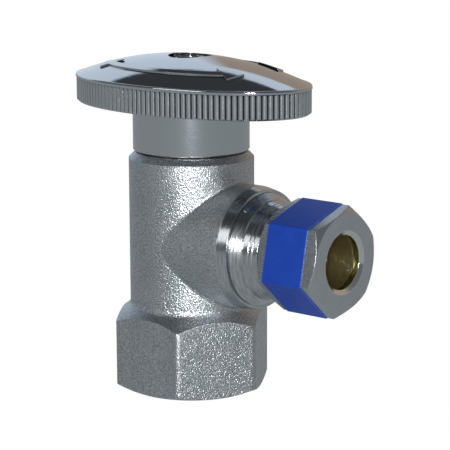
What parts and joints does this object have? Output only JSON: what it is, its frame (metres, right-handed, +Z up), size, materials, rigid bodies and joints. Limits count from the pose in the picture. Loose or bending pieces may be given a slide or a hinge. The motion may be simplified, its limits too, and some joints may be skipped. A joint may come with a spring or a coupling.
{
  "type": "angle stop valve",
  "caption": "Quarter-turn angle stop with a hexagon pipe inlet below, a side outlet with a compression nut, and an oval fluted handle on top.",
  "frame": {"origin": "centre of the inlet's flat bottom face", "axes": "+Z up the stem's axis towards the handle, +X along the outlet's axis towards the tube"},
  "size_m": [0.0608, 0.029, 0.062],
  "materials": {
    "blasted_chrome": "satin chrome plate over shot-blasted brass, bright where it is turned",
    "handle_chrome": "bright chrome plate",
    "nut_chrome": "satin chrome plate",
    "blue_band": "semi-gloss blue",
    "brass": "machined brass",
    "ball_chrome": "polished chrome",
    "screw_steel": "zinc plated",
    "ptfe": "white, waxy",
    "rubber": "black rubber"
  },
  "bodies": {
    "body": {"valve_body": "blasted_chrome", "bonnet": "brass", "bonnet_o_ring": "rubber", "inlet_seat": "ptfe", "inlet_seat_o_ring": "rubber", "outlet_seat": "ptfe", "outlet_seat_o_ring": "rubber", "rear_ball_support": "ptfe", "stem_thrust_washer": "ptfe", "stem_guide_bush": "ptfe"},
    "handle_and_ball": {"handle": "handle_chrome", "handle_screw": "screw_steel", "screw_lock_washer": "screw_steel", "stem": "brass", "stem_o_ring_lower": "rubber", "stem_o_ring_upper": "rubber", "ball": "ball_chrome"},
    "sleeve": {"compression_sleeve": "brass"},
    "nut": {"compression_nut": "nut_chrome", "nut_colour_band": "blue_band"}
  },
  "joints": [
    {"name": "handle_turn", "type": "hinge", "parent": "body", "child": "handle_and_ball", "pos_m": [0, 0, 0.028], "axis": [0, 0, 1], "range_deg": [-90, 0]},
    {"name": "sleeve_slide", "type": "slide", "parent": "body", "child": "sleeve", "axis": [1, 0, 0], "range_m": [0, 0.0053]},
    {"name": "nut_turn", "type": "hinge", "parent": "sleeve", "child": "nut", "pos_m": [0.0288, 0, 0.028], "axis": [1, 0, 0], "range_deg": [0, 1800]}
  ],
  "couplings": [
    {"joint": "sleeve_slide", "follows": "nut_turn", "m_per_rad": 0.00016844}
  ]
}
